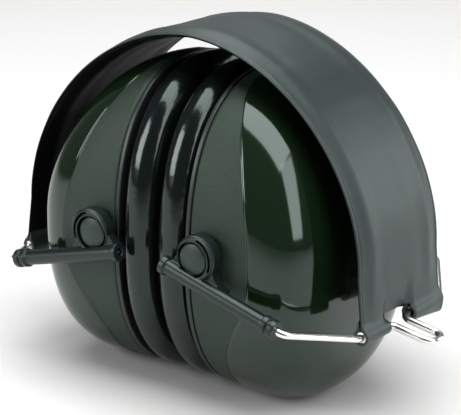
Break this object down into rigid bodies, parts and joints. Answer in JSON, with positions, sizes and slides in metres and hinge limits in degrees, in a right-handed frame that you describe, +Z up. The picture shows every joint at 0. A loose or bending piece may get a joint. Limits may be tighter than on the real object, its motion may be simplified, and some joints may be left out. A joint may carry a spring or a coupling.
{
  "type": "hearing protection earmuffs",
  "caption": "Passive hearing protection earmuffs folded up: oval cups with soft ring cushions tucked face to face inside a wide padded headband on hinged wire stirrups.",
  "frame": {"origin": "on the floor, midway between the two cups and midway front to back", "axes": "+X towards the right-hand cup, from ear to ear; -Y to the front, where the arms are seen; +Z up, towards the crown of the headband"},
  "size_m": [0.1578, 0.0894, 0.1097],
  "materials": {
    "cup_plastic": "dark olive green moulded plastic, fine matt grain by the rim, polished outside",
    "button_plastic": "dark olive green, satin",
    "arm_plastic": "black satin",
    "plate_plastic": "black",
    "cushion_vinyl": "glossy black vinyl",
    "foam": "soft black foam",
    "band_leathercloth": "dark grey vinyl leathercloth, semi-matt",
    "band_lining": "glossy black vinyl",
    "spring_steel": "drawn steel",
    "polished_wire": "polished stainless wire"
  },
  "bodies": {
    "headband": {"headband_cover": "band_leathercloth", "headband_lining": "band_lining", "headband_padding": "foam", "headband_spring_front": "spring_steel", "headband_spring_rear": "spring_steel", "hinge_ferrule_front_right": "spring_steel", "hinge_ferrule_rear_right": "spring_steel", "hinge_ferrule_front_left": "spring_steel", "hinge_ferrule_rear_left": "spring_steel"},
    "stirrup_right": {"stirrup_wire_right": "polished_wire"},
    "arms_right": {"arm_front_right": "arm_plastic", "arm_rear_right": "arm_plastic"},
    "cup_right": {"cup_shell_right": "cup_plastic", "cup_liner_right": "foam", "cushion_plate_right": "plate_plastic", "cushion_cover_right": "cushion_vinyl", "cushion_foam_right": "foam", "pivot_button_front_right": "button_plastic", "pivot_button_rear_right": "button_plastic"},
    "stirrup_left": {"stirrup_wire_left": "polished_wire"},
    "arms_left": {"arm_front_left": "arm_plastic", "arm_rear_left": "arm_plastic"},
    "cup_left": {"cup_shell_left": "cup_plastic", "cup_liner_left": "foam", "cushion_plate_left": "plate_plastic", "cushion_cover_left": "cushion_vinyl", "cushion_foam_left": "foam", "pivot_button_front_left": "button_plastic", "pivot_button_rear_left": "button_plastic"}
  },
  "joints": [
    {"name": "fold_right", "type": "hinge", "parent": "headband", "child": "stirrup_right", "pos_m": [0.0632, 0, 0.0304], "axis": [0, -1, 0], "range_deg": [0, 88], "deforming": ["cushion_cover_right", "cushion_foam_right"]},
    {"name": "slide_right", "type": "slide", "parent": "stirrup_right", "child": "arms_right", "axis": [-0.9659, 0, 0.2588], "range_m": [0, 0.025]},
    {"name": "swing_right", "type": "hinge", "parent": "arms_right", "child": "cup_right", "pos_m": [0.0188, 0, 0.0494], "axis": [0, 1, 0], "range_deg": [0, 95]},
    {"name": "fold_left", "type": "hinge", "parent": "headband", "child": "stirrup_left", "pos_m": [-0.0632, 0, 0.0304], "axis": [0, 1, 0], "range_deg": [0, 88], "deforming": ["cushion_cover_left", "cushion_foam_left"]},
    {"name": "slide_left", "type": "slide", "parent": "stirrup_left", "child": "arms_left", "axis": [0.9659, 0, 0.2588], "range_m": [0, 0.025]},
    {"name": "swing_left", "type": "hinge", "parent": "arms_left", "child": "cup_left", "pos_m": [-0.0188, 0, 0.0494], "axis": [0, -1, 0], "range_deg": [0, 95]}
  ],
  "couplings": [
    {"joint": "slide_right", "follows": "fold_right", "m_per_rad": 0.0135},
    {"joint": "swing_right", "follows": "fold_right", "ratio": 1},
    {"joint": "slide_left", "follows": "fold_left", "m_per_rad": 0.0135},
    {"joint": "swing_left", "follows": "fold_left", "ratio": 1}
  ]
}
